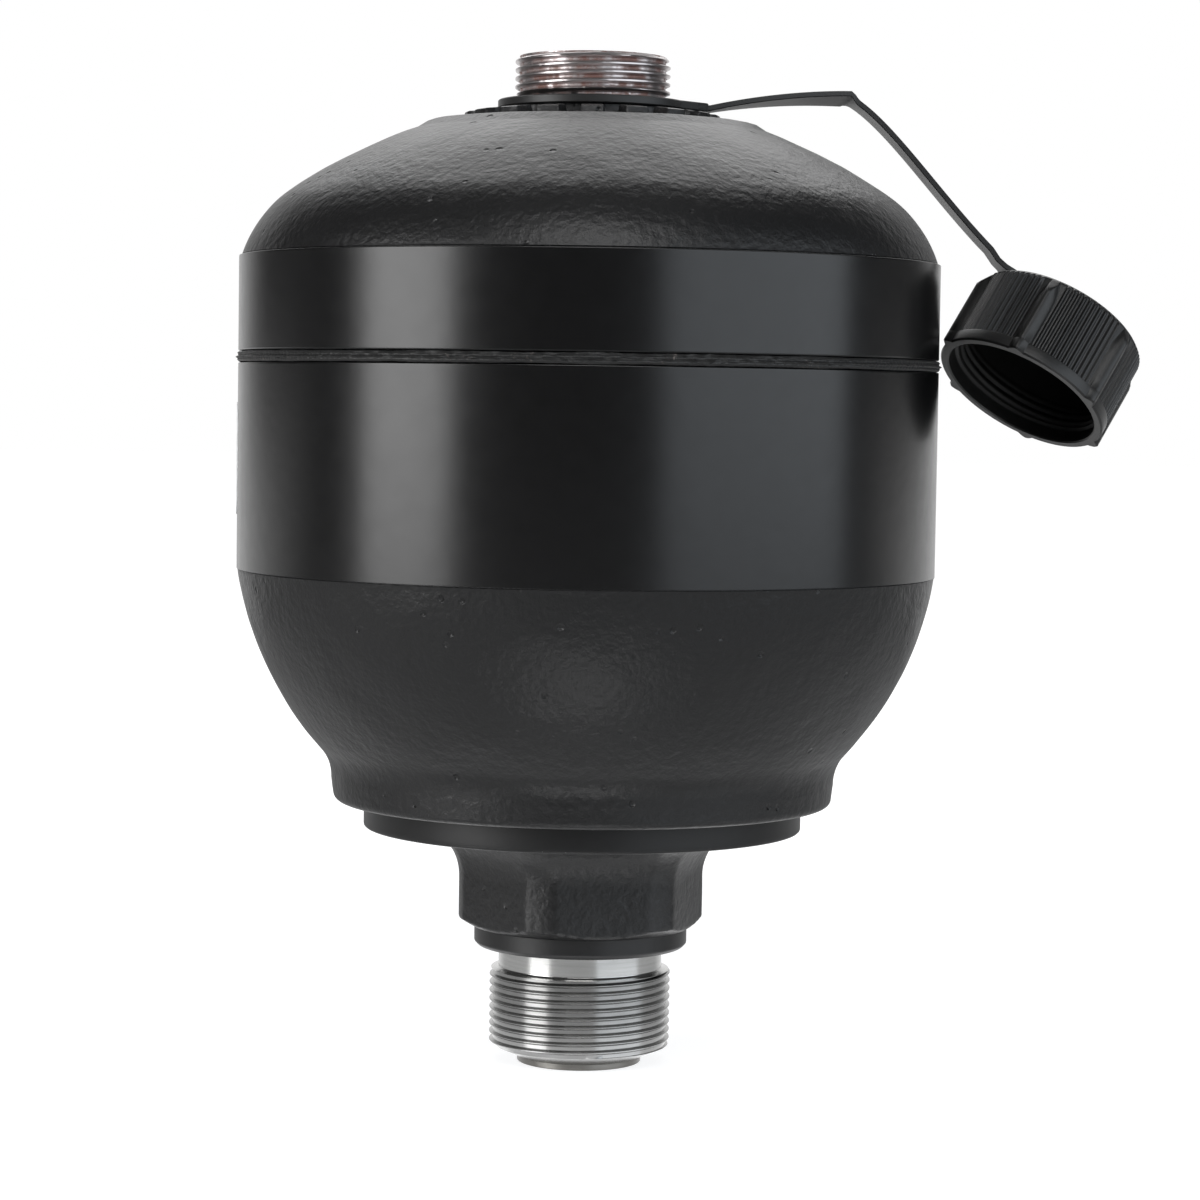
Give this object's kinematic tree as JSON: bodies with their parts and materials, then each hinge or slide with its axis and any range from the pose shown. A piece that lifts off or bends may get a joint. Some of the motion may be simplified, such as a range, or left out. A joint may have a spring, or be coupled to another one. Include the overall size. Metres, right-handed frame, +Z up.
{
  "type": "bladder accumulator",
  "caption": "Welded forged steel hydraulic accumulator with a rubber bladder, threaded fluid port with spanner hexagon, gas neck, and a screw cap hanging on its strap.",
  "frame": {"origin": "centre of the fluid port's end face, at the mouth of the fluid bore", "axes": "+Z up the vessel's axis from the fluid port to the gas neck; the strap leads the cap towards +X; -Y faces the viewer"},
  "size_m": [0.1645, 0.1272, 0.1818],
  "materials": {
    "upper_shell_paint": "satin black paint on forged and turned steel",
    "lower_shell_paint": "satin black paint on forged and turned steel",
    "weld_paint": "painted weld bead",
    "bladder_rubber": "moulded nitrile rubber",
    "ring_steel": "turned steel",
    "button_steel": "turned steel",
    "screw_steel": "oiled steel",
    "seal_rubber": "nitrile rubber",
    "label_film": "blank white film",
    "cap_plastic": "moulded polyethylene",
    "strap_plastic": "moulded polyethylene"
  },
  "bodies": {
    "vessel": {"upper_shell": "upper_shell_paint", "lower_shell": "lower_shell_paint", "weld_bead": "weld_paint", "bladder": "bladder_rubber", "retaining_ring": "ring_steel", "charging_screw": "screw_steel", "charging_screw_seal": "seal_rubber", "label": "label_film"},
    "strap": {"cap_strap": "strap_plastic"},
    "cap": {"cap": "cap_plastic"},
    "valve": {"valve_button": "button_steel"}
  },
  "joints": [
    {"name": "strap_swivel", "type": "hinge", "parent": "vessel", "child": "strap", "pos_m": [0, 0, 0.1724], "axis": [0, 0, 1], "continuous": true},
    {"name": "cap_spin", "type": "hinge", "parent": "strap", "child": "cap", "pos_m": [0.07902, 0.007, 0.1226], "axis": [0.4857, 0.3404, 0.8051], "continuous": true},
    {"name": "button_lift", "type": "slide", "parent": "vessel", "child": "valve", "axis": [0, 0, 1], "range_m": [0, 0.08], "deforming": ["bladder"]}
  ]
}
